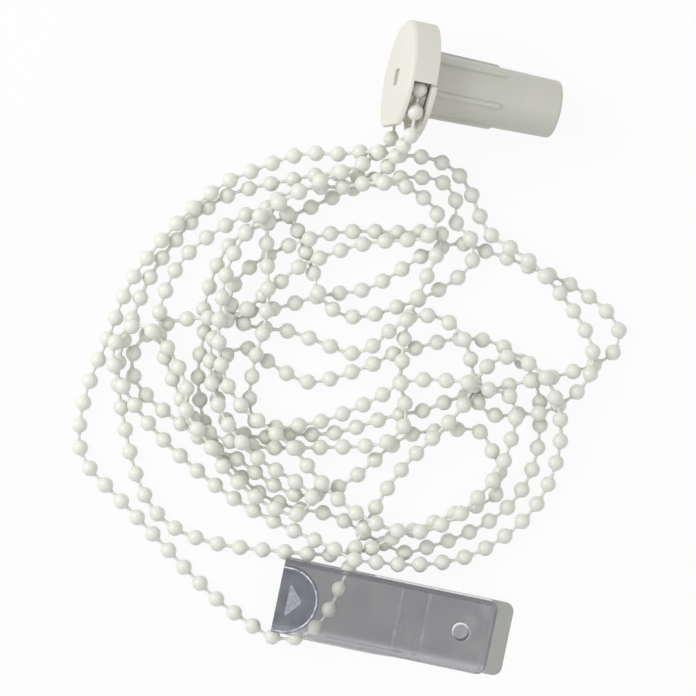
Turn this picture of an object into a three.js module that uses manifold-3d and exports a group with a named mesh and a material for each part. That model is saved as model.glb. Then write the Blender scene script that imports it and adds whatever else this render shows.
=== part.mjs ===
// Roller blind chain: an endless bead chain lying in a loose heap, threaded through
// the winder that turns the blind's tube and through the clear tensioner that guides its lower loop.
// Millimetres, +Z up, lying on Z = 0, origin under the middle of the heap.
import * as THREE from 'three';
import Module from 'manifold-3d';
import { mergeVertices } from 'three/addons/utils/BufferGeometryUtils.js';

const wasm = await Module();
wasm.setup();

// Clearances between pieces
const GAP = 0.3;
const BEAD_CLEARANCE = 0.35;

// Bead chain
const BEAD_DIAMETER = 4.2;
const BEAD_PITCH = 6;
const CORD_DIAMETER = 1.2;
const BEAD_RING_SIDES = 4;
const BEAD_RING_LATITUDE = 30;
const CORD_SIDES = 3;
const BEADS_PER_ROUTE = 1;

// Winder, along its own axis from the bracket side to the end of the tube plug
const WHEEL_POCKETS = 12;
const POCKET_SIDES = 8;
const POCKET_BANDS = 6;
const WHEEL_OVER_PITCH = 0.1;
const COVER_WALL = 1.6;
const RIM_WALL = 1.2;
const RIM_HALF_ANGLE = 96;
const COVER_EDGE_FILLET = 1.4;
const COVER_BELOW_AXIS = 12.6;
const CHANNEL_CLEARANCE = 0.4;
const BACK_PLATE_THICKNESS = 1.3;
const BACK_PLATE_PROUD = 0.5;
const SOCKET_WIDTH = 4.4;
const SOCKET_DEPTH = 4.5;
const SPINDLE_CHAMFER = 0.5;
const SPRING_WIRE = 0.9;
const SPRING_COUNT = 3;
const SPRING_TURNS = 3;
const SPRING_STEPS_PER_TURN = 8;
const SPRING_TURN_GAP = 0.2;
const SPRING_TANG = 1;
const TANG_CLEARANCE_ANGLE = 4;
const SLEEVE_WALL = 1;
const SLEEVE_SLOT_ANGLE = 70;
const KEY_ANGLE = 24;
const PLUG_RADIUS = 7.6;
const PLUG_LENGTH = 35;
const PLUG_DRAFT = 0.7;
const PLUG_MOUTH_WALL = 1.4;
const PLUG_WEB = 1.6;
const PLUG_END_RECESS = 2.6;
const PLUG_COLLAR_WALL = 1.2;
const PLUG_COLLAR_LENGTH = 5;
const PLUG_END_FILLET = 0.7;
const PLUG_RIBS = 6;
const PLUG_RIB_HEIGHT = 0.7;
const PLUG_RIB_WIDTH = 1.1;
const PLUG_RIB_LENGTH = 20;
const PLUG_RIB_RUN_OUT = 1.8;
const PLUG_RIB_PHASE = 110;
const SCREW_SHANK_RADIUS = 1;
const SCREW_SHANK_LENGTH = 9;
const SCREW_HEAD_RADIUS = 2.5;
const SCREW_HEAD_HEIGHT = 1.5;
const SCREW_SLOT_WIDTH = 0.7;
const SCREW_SLOT_DEPTH = 0.7;
const ROUND_SIDES = 32;
const BORE_SIDES = 24;
const SMALL_ROUND_SIDES = 12;
const HUB_CURVE_STEPS = 8;
const FOOT_CURVE_STEPS = 7;
const CORNER_STEPS = 4;
const COVER_FILLET_STEPS = 4;
const PLUG_FILLET_STEPS = 3;
const WINDER_X = 16.4;
const WINDER_Y = 69.4;
const WINDER_YAW = -10.4;

// Tensioner, along its own length from the hub end, lying with its back on the table
const TENSIONER_LENGTH = 61.8;
const TENSIONER_WIDTH = 19.6;
const BASE_THICKNESS = 1.6;
const FREE_END_CORNER = 2.4;
const HUB_END_CORNER = 0.8;
const GUARD_BULGE = 1;
const GUARD_START = 3;
const GUARD_END = 38;
const GUARD_RUN_IN = 5;
const GUARD_RUN_OUT = 12;
const CHANNEL_HEIGHT = 5;
const FRONT_SHORTER = 4.6;
const FRONT_THICKNESS = 1.2;
const FRONT_EDGE = 0.35;
const WALL_THICKNESS = 1.3;
const UPPER_WALL_START = 24;
const LOWER_WALL_START = 14.5;
const HUB_FROM_UPPER_EDGE = 10.6;
const HUB_RADIUS = 7;
const HUB_STRAIGHT = 1.9;
const SHIELD_RADIUS = 8.9;
const SHIELD_HEIGHT = 0.5;
const SHIELD_RIM = 0.7;
const SHIELD_RIM_HEIGHT = 0.3;
const POINTER_DEPTH = 0.9;
const POINTER_FROM_END = 2.6;
const POINTER_LENGTH = 4;
const POINTER_WIDTH = 9;
const POINTER_CORNER = 1;
const SCREW_HOLE_RADIUS = 2.2;
const SCREW_HOLE_FROM_END = 12.8;
const CATCH_FROM_HUB_END = 35.7;
const CATCH_RIB_APART = 7.4;
const CATCH_RIB_WIDTH = 0.9;
const CATCH_RIB_HEIGHT = 0.9;
const TONGUE_THICKNESS = 1.3;
const TENSIONER_X = -16.3;
const TENSIONER_Y = -55.1;
const TENSIONER_YAW = -11.8;

// The chain's way over the table, in millimetres from the middle of the heap:
// from where it leaves the top of the winder to where it comes back in underneath.
const ROUTE_TO_TENSIONER = [
  [13.9, 51.2, 20.5], [10.5, 46.4, 16], [6.3, 43.7, 11.5], [0.7, 42, 8], [-4.9, 39.6, 5], [-8.9, 37.8],
  [-13.4, 35.6], [-18.7, 34], [-23.9, 32.4], [-28.9, 29.9], [-32.9, 25], [-35.7, 18.9], [-37.4, 12.4],
  [-37.5, 6], [-38.8, 0], [-39.6, -6], [-39.3, -12.1], [-38.5, -18], [-37.3, -23.6], [-34.1, -27.6],
  [-30.5, -31.4], [-26.8, -35.6], [-21.6, -39.6], [-15.7, -41.6], [-9.9, -42.9], [-3.9, -44.2],
  [2.1, -47.4], [8.1, -51], [14.3, -53.8], [20.3, -52.8], [26.3, -51], [32.1, -48.6], [37.7, -45.5],
  [42.5, -41.7], [46.4, -36.8], [49.1, -31], [50.4, -24.7], [50.8, -18.6], [50, -12.2], [47.3, -5.6],
  [43.5, -1.2], [38.7, 1.2], [32.7, 2.5], [26.5, 2], [20.3, 0.7], [14.6, -1.2], [9, -3.3], [3, -5.6],
  [-3, -7.6], [-9.1, -9], [-14.6, -7.4], [-20.1, -4.3], [-24.9, -0.9], [-29.9, -0.4], [-33.6, -5.8],
  [-34.5, -12.2], [-32.3, -18.6], [-26.9, -22.8], [-20.4, -23.4], [-13.9, -23], [-7.9, -22.8],
  [-3.9, -22.5], [2.1, -21], [7.8, -19.1], [13.5, -17.4], [19.3, -16.7], [24.9, -14.6], [30.5, -12],
  [36.1, -10.8], [41.4, -10], [45.5, -8.6], [51.1, -8.3], [56.4, -7.4], [62.1, -5.5], [67.7, -3.3],
  [71.8, 1.2], [70.8, 6.6], [66.5, 11.2], [61.4, 15.1], [56.2, 17.9], [50.3, 20.4], [44.5, 22.9],
  [38.7, 24.9], [33.1, 26.6], [27.6, 28], [22.9, 26], [18.1, 23.4], [13.4, 20.3], [8, 17.1],
  [2.2, 14.8], [-3.8, 14.4], [-9.9, 13.3], [-15.4, 11.3], [-20.9, 9.8], [-25.9, 9.8], [-30.9, 8.7],
  [-36.2, 8.9], [-42, 8.6], [-47.9, 6.6], [-53.9, 3.8], [-57.2, -1.3], [-56.9, -7.3], [-53.5, -12.5],
  [-48.7, -16.7], [-43.7, -20.2], [-38.4, -23.4], [-33.4, -26.6], [-28.9, -29.2], [-24.7, -32.6],
  [-20.1, -36.1], [-14.9, -38.8], [-8.4, -38.8], [-3.9, -37.5], [1.2, -34.6], [6.1, -30.5], [11, -26.1],
  [16.1, -23], [21.6, -22.2], [27.1, -21.7], [32.1, -21.6], [36.4, -23.6], [38.6, -29.4], [40.5, -36],
  [37.1, -40.6], [31.1, -42.4], [24.6, -45.3], [18.6, -47.6], [12.1, -49.6], [6.1, -53], [0.5, -55],
  [-5.4, -54.8], [-11.3, -54.1], [-17.3, -53.6], [-23.8, -53.2], [-30.2, -52.6], [-36.4, -51.4],
  [-42.6, -49.4], [-48, -46.4], [-52.1, -41.9], [-55.1, -36.2], [-57.1, -30], [-58.4, -23.8],
  [-59.6, -17.6], [-60.6, -11.4], [-60.7, -5.1], [-59.2, 1.4], [-57, 7.4], [-54.9, 13.3], [-52.3, 18.9],
  [-48.9, 24.2], [-45.2, 29], [-41.4, 33.4], [-37.1, 37.3], [-32.4, 40.3], [-26.5, 42.2], [-20.4, 43.4],
  [-13.4, 44.6], [-6.9, 46.2], [-0.9, 46.2], [5.1, 45.4], [11, 44.8], [17.1, 45.1], [23, 45.1],
  [28.1, 42.8], [29, 37.8], [28.1, 32.7], [31.7, 29.4], [33.7, 24.8], [31.3, 20.4], [26.7, 16.9],
  [21, 13.9], [15.3, 11.6], [9.6, 9.5], [3.6, 8.1], [-2.6, 8], [-6.7, 11.6], [-9, 17.4], [-10.4, 23.4],
  [-11.9, 29.6], [-14.4, 35.2], [-20.4, 37], [-27.1, 35.1], [-33.3, 32], [-38.7, 28.6], [-43.4, 24.4],
  [-46.9, 19.4], [-48.9, 13.6], [-49.9, 7.4], [-49.5, 1.6], [-47.9, -4.4], [-45.7, -10.3], [-42.9, -16],
  [-39.1, -21], [-33.9, -24.3], [-27.9, -25.6], [-21.9, -26.2], [-15.9, -26.2], [-10.7, -26.1],
  [-4.8, -26.1], [1.3, -26.1], [7.4, -25.6], [12.8, -23.6], [15.7, -19], [14.5, -13.1], [13.2, -7.6],
  [14, -1.9], [14.3, 3.6], [16.3, 9.2], [19, 14.6], [21.1, 20], [23.4, 25.8], [24.9, 30.7],
  [19.9, 30.2], [14.3, 30.4], [8.5, 30.7], [2.5, 30.9], [-3.1, 30.6], [-8.9, 29.6], [-14.7, 27.8],
  [-19.9, 25.1], [-25.5, 22], [-29.7, 17.9], [-31.1, 12.4], [-28.7, 6.8], [-22.9, 5.1], [-16.7, 5],
  [-10.6, 2.8], [-4.8, 0.5], [1.1, -2], [5.3, -0.9], [8.7, 2.6], [13, 6.2], [18.5, 8.9], [24.4, 8.3],
  [28.7, 5.2], [31.5, 0], [33.2, -6.6], [32.7, -12.6], [35.1, -17.4], [41.1, -17.8], [47.3, -17],
  [53.6, -16.1], [59.2, -13.1], [63.2, -9], [64.9, -3.2], [63.8, 2.9], [60.5, 8.4], [56.8, 13.4],
  [52.6, 18.1], [48.3, 22.4], [43.1, 26.1], [37.6, 28.8], [35.1, 32.4], [34.1, 37.6], [31.9, 43.1],
  [28.3, 48.3], [23, 50.7], [17.1, 51], [9.1, 49.2], [2.6, 49], [-2.1, 50.2], [-6.8, 51.8], [-12.4, 52],
  [-17.7, 50], [-22.7, 47.6], [-28.4, 45.5], [-33.5, 42.9], [-38.3, 39.2], [-42.9, 35], [-47.1, 30.6],
  [-51.3, 25.6], [-55.3, 20.6], [-58.5, 15.2], [-60.8, 9.7], [-62.7, 3.8], [-65.4, -1.8], [-67.8, -7.6],
  [-69.7, -13.6], [-70.9, -19.6], [-70.9, -25.9], [-68.5, -31.4], [-64.4, -35.9], [-59.9, -40.5],
  [-55.6, -44.9], [-51.4, -49.3], [-47.1, -53.8], [-42.9, -58.4], [-38.3, -62.9], [-33.6, -67.4],
  [-28.5, -71],
];
const ROUTE_THROUGH_TENSIONER = [
  [-23.3, -74.6], [-17.4, -76.9], [-11.2, -75.6], [-6.3, -71.6], [-3.3, -65.8], [-0.6, -60], [1.6, -54],
];
const ROUTE_TO_WINDER = [
  [3.7, -48.5], [6.6, -43], [9.8, -37.5], [13.7, -32.2], [18.4, -27.2], [23.2, -22.7], [28.1, -18.1],
  [31.9, -13.1], [33.9, -7.6], [37.1, -3.5], [42.1, -2], [47.1, -3.6], [51.6, -7.3], [54.6, -13.1],
  [56.3, -19.8], [56.2, -26.2], [54.6, -32.5], [52.1, -38.3], [48.6, -43.6], [44.2, -48.1],
  [39.1, -51.5], [33.8, -54.9], [27.8, -56.7], [21.9, -57.2], [15.8, -57.7], [9.7, -56.9], [3.8, -55.2],
  [-2.1, -53.2], [-7.9, -51], [-13.7, -48.5], [-19.6, -45.9], [-25.2, -43.1], [-30.5, -40],
  [-35.6, -36.1], [-40.4, -32.1], [-45.1, -28], [-49.7, -23.5], [-53.9, -18.8], [-57.3, -13.5],
  [-60.1, -8.2], [-61.8, -2.4], [-60.3, 3.2], [-55.7, 6.2], [-50.9, 4.3], [-47.1, -0.1], [-44.1, -5.6],
  [-41.9, -11.1], [-42.7, -16.2], [-40.1, -20.2], [-36.2, -24.4], [-34.5, -29.2], [-30.2, -34],
  [-25.5, -38.2], [-19.9, -42], [-13.9, -43.2], [-9.1, -40.9], [-11.3, -37], [-16.3, -34],
  [-21.2, -30.6], [-26.3, -26.8], [-30.5, -22.1], [-33.7, -16.6], [-35.9, -11.1], [-36.3, -5.1],
  [-35.9, 0.9], [-34.3, 6.2], [-29.5, 8.6], [-25.1, 11.8], [-20.1, 15.7], [-14.9, 19.2], [-9.8, 22.6],
  [-4.2, 25.1], [1.6, 27.1], [7.4, 28.1], [13.4, 28.4], [19.1, 28.6], [24.6, 31.9], [22.3, 37],
  [18.1, 41.2], [13.1, 43.2], [8.1, 43.8], [2.1, 42.8], [-4.9, 42.4], [-12.4, 42.2], [-18.7, 39.6],
  [-21.2, 33.8], [-21.4, 27.8], [-21.2, 21.6], [-21, 15.6], [-21.1, 10], [-22.2, 4], [-24.3, -1.6],
  [-25.4, -7.8], [-26.2, -13.6], [-25.3, -19], [-20.3, -21.2], [-14.4, -20.6], [-8.7, -20], [-2.8, -18],
  [3.1, -15.5], [9.1, -12.6], [13.5, -9], [19.1, -8], [25.4, -8.4], [32, -9], [38.1, -11.4],
  [43.3, -12.6], [44.3, -16], [43.6, -21], [42, -27.8], [39.3, -33.3], [34.7, -38.8], [29.8, -43.6],
  [23.6, -47], [16.1, -48.6], [9.1, -46.8], [2.9, -44.2], [-2.7, -40], [-7.1, -35.5], [-11.2, -30.4],
  [-14.7, -25.2], [-20.9, -21], [-27.5, -16.6], [-31.5, -11.2], [-33.3, -5.4], [-34, 0.6], [-33.6, 6.4],
  [-32.9, 11.9], [-33.2, 17.4], [-31.4, 23.4], [-28.2, 28.8], [-23.9, 34.4], [-15.9, 39.2],
  [-7.9, 43.2], [-1.4, 45.4], [3.7, 47.5], [8.1, 50.8],
];

// Settling of the chain: how it is let down onto the table and onto itself
const SETTLE_ROUNDS = 700;
const SAG_ROUNDS = 350;
const SAG_STEP = 0.05;
const HOLD_ROUNDS = 550;
const HOLD_TO_ROUTE = 0.04;
const LOOK_AROUND_EVERY = 10;
const LOOK_AROUND = 3;
const CONTACT_GAP = 0.25;
const TIGHTEST_BEND = 8.6;
const OVER_RELAXATION = 1.3;
const ROUTE_STEPS = 12;

const BEAD_RADIUS = BEAD_DIAMETER / 2;
const CORD_RADIUS = CORD_DIAMETER / 2;
const POCKET_ANGLE = (2 * Math.PI) / WHEEL_POCKETS;
const HELD_POCKETS = WHEEL_POCKETS / 2 + 2;
const PITCH_RADIUS = BEAD_PITCH / (2 * Math.sin(POCKET_ANGLE / 2));
const RIM_INNER_RADIUS = PITCH_RADIUS + BEAD_RADIUS + BEAD_CLEARANCE;
const COVER_RADIUS = RIM_INNER_RADIUS + RIM_WALL;
const CHANNEL_HALF_WIDTH = BEAD_RADIUS + CHANNEL_CLEARANCE;
const BACK_PLATE_FACE = CHANNEL_HALF_WIDTH + BACK_PLATE_THICKNESS;
const RIM_END = BACK_PLATE_FACE - BACK_PLATE_PROUD;
const COVER_FACE = -CHANNEL_HALF_WIDTH - COVER_WALL;
const WHEEL_HALF_WIDTH = CHANNEL_HALF_WIDTH - GAP;
const WHEEL_RADIUS = PITCH_RADIUS + WHEEL_OVER_PITCH;
const GROOVE_RADIUS = PITCH_RADIUS * Math.cos(POCKET_ANGLE / 2) - CORD_RADIUS - GAP;
const PLUG_INNER_RADIUS = PLUG_RADIUS - PLUG_MOUTH_WALL;
const SLEEVE_RADIUS = PLUG_INNER_RADIUS - GAP;
const SLEEVE_INNER_RADIUS = SLEEVE_RADIUS - SLEEVE_WALL;
const JOURNAL_RADIUS = SLEEVE_INNER_RADIUS - GAP;
const SPRING_RADIUS = SLEEVE_INNER_RADIUS - GAP - SPRING_WIRE / 2;
const SPRING_FLATS = Math.cos(Math.PI / SPRING_STEPS_PER_TURN);
const SPINDLE_RADIUS = (SPRING_RADIUS - SPRING_WIRE / 2) * SPRING_FLATS - GAP;
const SPRINGS_START = BACK_PLATE_FACE + GAP;
const SPRING_RISE = SPRING_WIRE + SPRING_TURN_GAP;
const SPRING_LENGTH = SPRING_TURNS * SPRING_RISE + SPRING_WIRE;
const SLEEVE_END = SPRINGS_START + SPRING_COUNT * (SPRING_LENGTH + GAP);
const PLUG_START = BACK_PLATE_FACE + GAP;
const PLUG_END = PLUG_START + PLUG_LENGTH;
const WEB_FACE = PLUG_END - PLUG_END_RECESS;
const WEB_BACK = WEB_FACE - PLUG_WEB;
const SPINDLE_END = WEB_BACK - GAP;
const SCREW_SEAT = WEB_FACE + GAP;
const SCREW_CLEAR_RADIUS = SCREW_SHANK_RADIUS + GAP;

// The winder lies with the rim of its cover and the end of its tube plug on the table.
const WINDER_TILT = Math.atan2(COVER_RADIUS - PLUG_RADIUS, PLUG_END - PLUG_END_FILLET - RIM_END);
const WINDER_HEIGHT = COVER_RADIUS * Math.cos(WINDER_TILT) + RIM_END * Math.sin(WINDER_TILT);

const winder = new THREE.Group();
winder.position.set(WINDER_X, WINDER_Y, WINDER_HEIGHT);
winder.rotation.set(0, WINDER_TILT, THREE.MathUtils.degToRad(WINDER_YAW), 'ZYX');
winder.updateMatrixWorld();

const tensioner = new THREE.Group();
tensioner.position.set(TENSIONER_X, TENSIONER_Y, 0);
tensioner.rotation.set(0, 0, THREE.MathUtils.degToRad(TENSIONER_YAW));
tensioner.updateMatrixWorld();

const CHANNEL_FLOOR = BASE_THICKNESS + GAP + BEAD_RADIUS;
const FRONT_BACK = BASE_THICKNESS + CHANNEL_HEIGHT;
const CHANNEL_CEILING = FRONT_BACK - GAP - BEAD_RADIUS;
const FRONT_FACE = FRONT_BACK + FRONT_THICKNESS;
const SHIELD_FACE = FRONT_FACE + SHIELD_HEIGHT;

// How low and how high a bead's centre can lie: over the table, or between the tensioner's
// base and its front.
function roomAt(point) {
  const local = tensioner.worldToLocal(new THREE.Vector3(point.x, point.y, 0));
  const beside = Math.max(-local.x, local.x - TENSIONER_LENGTH, 0);
  const below = Math.max(local.y, -TENSIONER_WIDTH - GUARD_BULGE - local.y, 0);
  return Math.hypot(beside, below) < BEAD_RADIUS + GAP
    ? { low: CHANNEL_FLOOR, high: CHANNEL_CEILING }
    : { low: BEAD_RADIUS, high: Infinity };
}

// The beads that the winder holds: in the pockets of the wheel from its underside over its far side
// to its top, and two more of each strand, straight between the plates.
function beadsInWinder() {
  const beads = [];
  const lastHeight = PITCH_RADIUS * Math.cos(POCKET_ANGLE / 2);
  const lastDrop = PITCH_RADIUS * Math.sin(POCKET_ANGLE / 2);
  for (const step of [2, 1]) {
    beads.push(new THREE.Vector3(0, -lastDrop - step * BEAD_PITCH, -lastHeight));
  }
  for (let pocket = 0; pocket < HELD_POCKETS; pocket += 1) {
    const angle = (pocket - (HELD_POCKETS - 1) / 2) * POCKET_ANGLE;
    beads.push(new THREE.Vector3(0, PITCH_RADIUS * Math.cos(angle), PITCH_RADIUS * Math.sin(angle)));
  }
  for (const step of [1, 2]) {
    beads.push(new THREE.Vector3(0, -lastDrop - step * BEAD_PITCH, lastHeight));
  }
  return beads.map((bead) => bead.applyMatrix4(winder.matrixWorld));
}

// Each free bead's place over the table, evenly spaced along the route.
function beadsOnRoute(held) {
  const route = [...ROUTE_TO_TENSIONER, ...ROUTE_THROUGH_TENSIONER, ...ROUTE_TO_WINDER];
  const points = [
    held.at(-1),
    ...route.map(([x, y, height = BEAD_RADIUS]) => new THREE.Vector3(x, y, height)),
    held[0],
  ];
  const curve = new THREE.CatmullRomCurve3(points, false, 'centripetal');
  curve.arcLengthDivisions = points.length * ROUTE_STEPS;
  const links = Math.round((curve.getLength() * BEADS_PER_ROUTE) / BEAD_PITCH);
  return curve.getSpacedPoints(links).slice(1, -1);
}

// Beads and the middles of the links between them, as balls that touch but never sink into each other.
function ballsOf(beads) {
  const balls = beads.map((bead, index) => ({ at: bead, radius: BEAD_RADIUS, first: index, last: index }));
  beads.forEach((bead, index) => {
    const next = beads[(index + 1) % beads.length];
    const middle = bead.clone().lerp(next, 0.5);
    balls.push({ at: middle, radius: CORD_RADIUS, first: index, last: (index + 1) % beads.length });
  });
  return balls;
}

// Neighbours along the chain keep their distance by the links and the bend, not by contact.
function apartAlongChain(a, b, count) {
  const gap = Math.abs(a.first - b.first);
  return Math.min(gap, count - gap) > 2;
}

// Lets the beads down one after the other, each onto whatever lies under it already.
function layDown(beads, heldCount) {
  const lain = beads.slice(0, heldCount).map((bead, index) => ({ at: bead, radius: BEAD_RADIUS, index }));
  const restOn = (spot, radius, index) => {
    let height = 0;
    for (const other of lain) {
      const apart = radius + other.radius + CONTACT_GAP;
      const flat = Math.hypot(spot.x - other.at.x, spot.y - other.at.y);
      if (flat < apart && index - other.index > 2) {
        height = Math.max(height, other.at.z + Math.sqrt(apart * apart - flat * flat));
      }
    }
    return height;
  };
  for (let index = heldCount; index < beads.length; index += 1) {
    const previous = beads[index - 1];
    const bead = beads[index];
    const middle = previous.clone().lerp(bead, 0.5);
    const over = restOn(middle, CORD_RADIUS, index);
    bead.z = Math.max(bead.z, roomAt(bead).low, restOn(bead, BEAD_RADIUS, index));
    if ((previous.z + bead.z) / 2 < over) {
      bead.z = Math.max(bead.z, over);
      previous.z = index > heldCount ? Math.max(previous.z, over) : previous.z;
    }
    middle.z = (previous.z + bead.z) / 2;
    lain.push({ at: middle, radius: CORD_RADIUS, index });
    lain.push({ at: bead, radius: BEAD_RADIUS, index });
  }
}

// Pairs of balls near enough to touch before the next look around.
function nearPairs(balls, count) {
  const pairs = [];
  for (let i = 0; i < balls.length; i += 1) {
    for (let j = i + 1; j < balls.length; j += 1) {
      const apart = balls[i].radius + balls[j].radius + CONTACT_GAP;
      const near = balls[i].at.distanceTo(balls[j].at) < apart + LOOK_AROUND;
      if (near && apartAlongChain(balls[i], balls[j], count)) {
        pairs.push([i, j, apart]);
      }
    }
  }
  return pairs;
}

// Settles the chain: every bead sags, links keep their length, balls keep apart
// and strands stay near the route.
function settle(beads, held) {
  const count = beads.length;
  const places = beads.map((bead) => bead.clone());
  const moves = beads.map(() => new THREE.Vector3());
  const shares = new Float64Array(count);
  const touching = new Uint8Array(count);
  const along = new THREE.Vector3();
  const push = (first, last, change, factor) => {
    for (const index of [first, last]) {
      moves[index].addScaledVector(change, factor);
      shares[index] += 1;
      touching[index] = 1;
    }
  };
  const keep = (first, last, wanted, both) => {
    along.subVectors(beads[last], beads[first]);
    const length = along.length();
    if (both || length < wanted) {
      const freedom = held[first] || held[last] ? 1 : 0.5;
      along.multiplyScalar(((length - wanted) / length) * freedom);
      moves[first].add(along);
      moves[last].sub(along);
      shares[first] += 1;
      shares[last] += 1;
    }
  };
  let pairs = [];
  for (let round = 0; round < SETTLE_ROUNDS; round += 1) {
    const balls = ballsOf(beads);
    if (round % LOOK_AROUND_EVERY === 0) {
      pairs = nearPairs(balls, count);
    }
    moves.forEach((move) => move.set(0, 0, 0));
    shares.fill(0);
    touching.fill(0);
    for (let index = 0; index < count; index += 1) {
      keep(index, (index + 1) % count, BEAD_PITCH, true);
      keep(index, (index + 2) % count, TIGHTEST_BEND, false);
    }
    for (const [i, j, apart] of pairs) {
      along.subVectors(balls[j].at, balls[i].at);
      const length = along.length();
      if (length < apart) {
        along.multiplyScalar(((apart - length) / length) * 0.5);
        push(balls[j].first, balls[j].last, along, 1);
        push(balls[i].first, balls[i].last, along, -1);
      }
    }
    const sag = round < SAG_ROUNDS ? SAG_STEP : 0;
    const hold = round < HOLD_ROUNDS ? HOLD_TO_ROUTE : 0;
    beads.forEach((bead, index) => {
      if (!held[index]) {
        bead.addScaledVector(moves[index], OVER_RELAXATION / Math.max(1, shares[index]));
        bead.x += (places[index].x - bead.x) * hold;
        bead.y += (places[index].y - bead.y) * hold;
        const room = roomAt(bead);
        bead.z = THREE.MathUtils.clamp(bead.z - (touching[index] ? 0 : sag), room.low, room.high);
      }
    });
  }
}

const heldBeads = beadsInWinder();
const chainBeads = [...heldBeads, ...beadsOnRoute(heldBeads)];
const isHeld = chainBeads.map((bead, index) => index < heldBeads.length);
layDown(chainBeads, heldBeads.length);
settle(chainBeads, isHeld);

// Geometry as a closed solid with its faces pointing out, and back again.
function solid(geometry) {
  const bare = geometry.clone();
  bare.deleteAttribute('normal');
  bare.deleteAttribute('uv');
  const merged = mergeVertices(bare, 1e-4);
  const place = merged.getAttribute('position');
  const corners = [0, 1, 2].map(() => new THREE.Vector3());
  const triangles = [];
  let volume = 0;
  for (let start = 0; start < merged.index.count; start += 3) {
    const triangle = [0, 1, 2].map((corner) => merged.index.getX(start + corner));
    if (new Set(triangle).size === 3) {
      corners.forEach((corner, which) => corner.fromBufferAttribute(place, triangle[which]));
      volume += corners[0].dot(corners[1].cross(corners[2]));
      triangles.push(triangle);
    }
  }
  const facing = volume > 0 ? triangles : triangles.map(([a, b, c]) => [a, c, b]);
  return new wasm.Manifold(new wasm.Mesh({
    numProp: 3,
    vertProperties: new Float32Array(place.array),
    triVerts: new Uint32Array(facing.flat()),
  }));
}

function shapeOf(manifold) {
  const { vertProperties, triVerts } = manifold.getMesh();
  const geometry = new THREE.BufferGeometry();
  geometry.setAttribute('position', new THREE.BufferAttribute(new Float32Array(vertProperties), 3));
  geometry.setIndex(new THREE.BufferAttribute(new Uint32Array(triVerts), 1));
  geometry.computeVertexNormals();
  return geometry;
}

// A profile of [along the axis, radius] corners turned about the winder's X axis.
function turned(profile, sides = ROUND_SIDES) {
  const corners = [...profile, profile[0]];
  const points = corners.map(([along, radius]) => new THREE.Vector2(radius, along));
  return solid(new THREE.LatheGeometry(points, sides).rotateZ(-Math.PI / 2));
}

// An outline drawn across the winder's axis, with depth along it.
const ACROSS_WINDER = new THREE.Matrix4().makeBasis(
  new THREE.Vector3(0, 1, 0),
  new THREE.Vector3(0, 0, 1),
  new THREE.Vector3(1, 0, 0),
);

function acrossWinder(outline, from, to, curveSegments = CORNER_STEPS) {
  const options = { depth: to - from, bevelEnabled: false, curveSegments };
  const block = new THREE.ExtrudeGeometry(outline, options).applyMatrix4(ACROSS_WINDER);
  return solid(block.translate(from, 0, 0));
}

// A slice of a disc, between two radii, whose middle lies at the given angle.
function sectorOutline(inner, outer, middle, width) {
  const outline = new THREE.Shape();
  outline.absarc(0, 0, outer, middle - width / 2, middle + width / 2, false);
  outline.absarc(0, 0, inner, middle + width / 2, middle - width / 2, true);
  outline.closePath();
  return outline;
}

function radians(degrees) {
  return THREE.MathUtils.degToRad(degrees);
}

// Rounds an outer corner of a turned profile, between two directions in degrees from the axis.
function roundedCorner(along, radius, fillet, from, to, steps) {
  const inward = from > 90 ? fillet : -fillet;
  return Array.from({ length: steps + 1 }, (unused, step) => {
    const angle = radians(from + ((to - from) * step) / steps);
    return [along + inward + fillet * Math.cos(angle), radius - fillet + fillet * Math.sin(angle)];
  });
}

// Skins a row of rings, each a centre, two directions across it, a size and a number of corners.
function skinned(rings, closed) {
  const positions = [];
  const triangles = [];
  const starts = rings.map((ring) => {
    const start = positions.length / 3;
    for (let corner = 0; corner < ring.sides; corner += 1) {
      const angle = ring.phase + (2 * Math.PI * corner) / ring.sides;
      const point = ring.centre.clone()
        .addScaledVector(ring.right, ring.radius * Math.cos(angle))
        .addScaledVector(ring.up, ring.radius * Math.sin(angle));
      positions.push(point.x, point.y, point.z);
    }
    return start;
  });
  const corner = (ring, number) => starts[ring] + (number % rings[ring].sides);
  const pairs = closed ? rings.length : rings.length - 1;
  for (let first = 0; first < pairs; first += 1) {
    const second = (first + 1) % rings.length;
    const [a, b] = [rings[first], rings[second]];
    let i = 0;
    let j = 0;
    while (i < a.sides || j < b.sides) {
      const nextOnA = a.phase + (2 * Math.PI * (i + 1)) / a.sides;
      const nextOnB = b.phase + (2 * Math.PI * (j + 1)) / b.sides;
      if (j >= b.sides || (i < a.sides && nextOnA <= nextOnB)) {
        triangles.push(corner(first, i), corner(first, i + 1), corner(second, j));
        i += 1;
      } else {
        triangles.push(corner(first, i), corner(second, j + 1), corner(second, j));
        j += 1;
      }
    }
  }
  if (!closed) {
    const last = rings.length - 1;
    for (let step = 1; step < rings[0].sides - 1; step += 1) {
      triangles.push(corner(0, 0), corner(0, step + 1), corner(0, step));
      triangles.push(corner(last, 0), corner(last, step), corner(last, step + 1));
    }
  }
  const geometry = new THREE.BufferGeometry();
  geometry.setAttribute('position', new THREE.Float32BufferAttribute(positions, 3));
  geometry.setIndex(triangles);
  geometry.computeVertexNormals();
  return geometry;
}

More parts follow.
